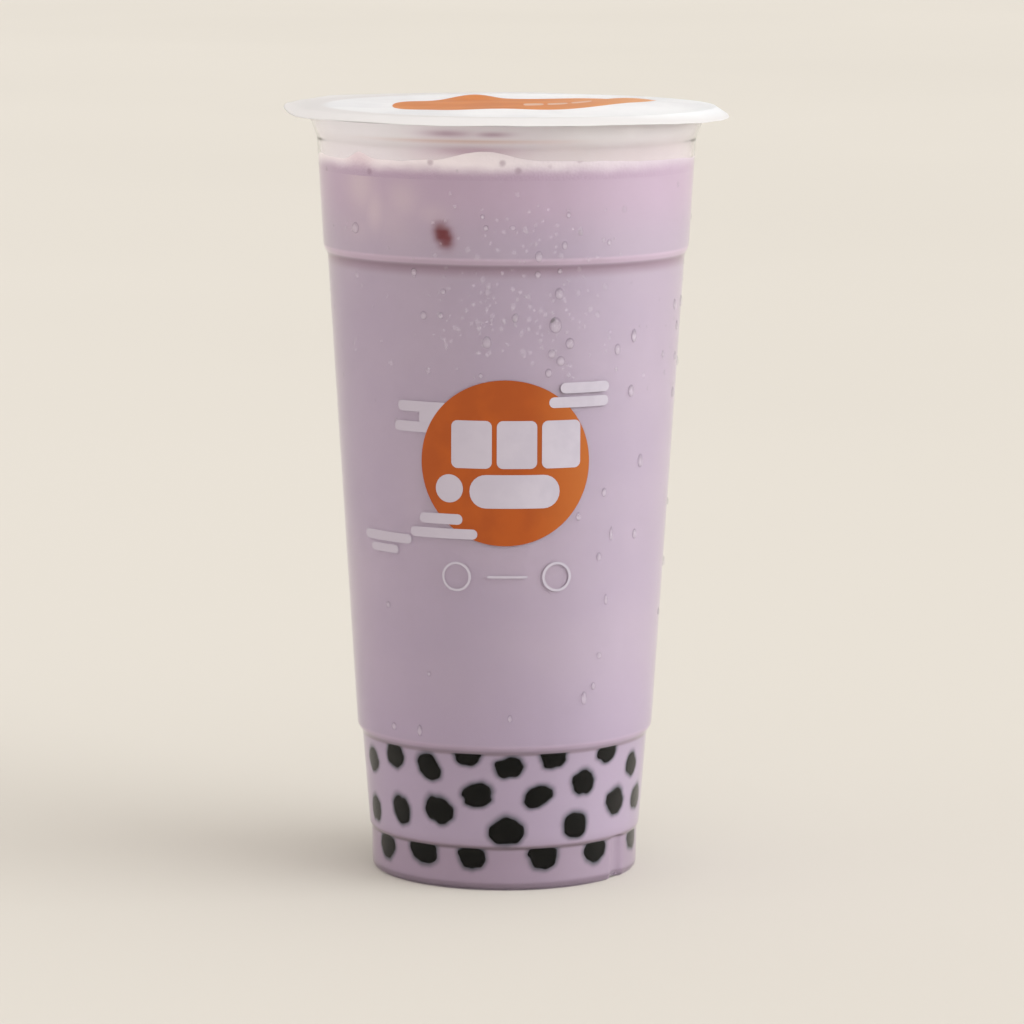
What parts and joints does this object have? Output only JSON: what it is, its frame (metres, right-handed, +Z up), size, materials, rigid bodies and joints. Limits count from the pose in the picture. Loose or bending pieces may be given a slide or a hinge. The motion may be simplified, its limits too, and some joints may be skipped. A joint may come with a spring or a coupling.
{
  "type": "taro bubble tea in sealed takeaway cup",
  "caption": "Tall clear plastic cup of purple milk tea with tapioca pearls at the bottom and foam on top, shut with a welded film lid.",
  "frame": {"origin": "on the cup's axis, at the surface that the cup stands on", "axes": "+Z up along the cup's axis, -Y towards the viewer of the printed side, +X to the viewer's right"},
  "size_m": [0.1012, 0.1012, 0.1772],
  "materials": {
    "cup_plastic": "clear polypropylene, glossy with a faint haze",
    "milk_tea": "opaque lavender milk tea against the wall",
    "milk_foam": "fine pale milk foam with a few bubbles",
    "seal_film": "thin white printed plastic film",
    "print_orange": "flat orange ink",
    "print_white": "thin white ink",
    "tapioca": "cooked black tapioca, smooth and slightly glossy",
    "sunk_bits": "soft red bean under the milk",
    "ice": "ice lump coated in milk tea",
    "water": "clear condensation drops"
  },
  "bodies": {
    "root": {"cup": "cup_plastic", "taro_milk_tea": "milk_tea", "milk_foam": "milk_foam", "seal_film": "seal_film"}
  },
  "joints": []
}
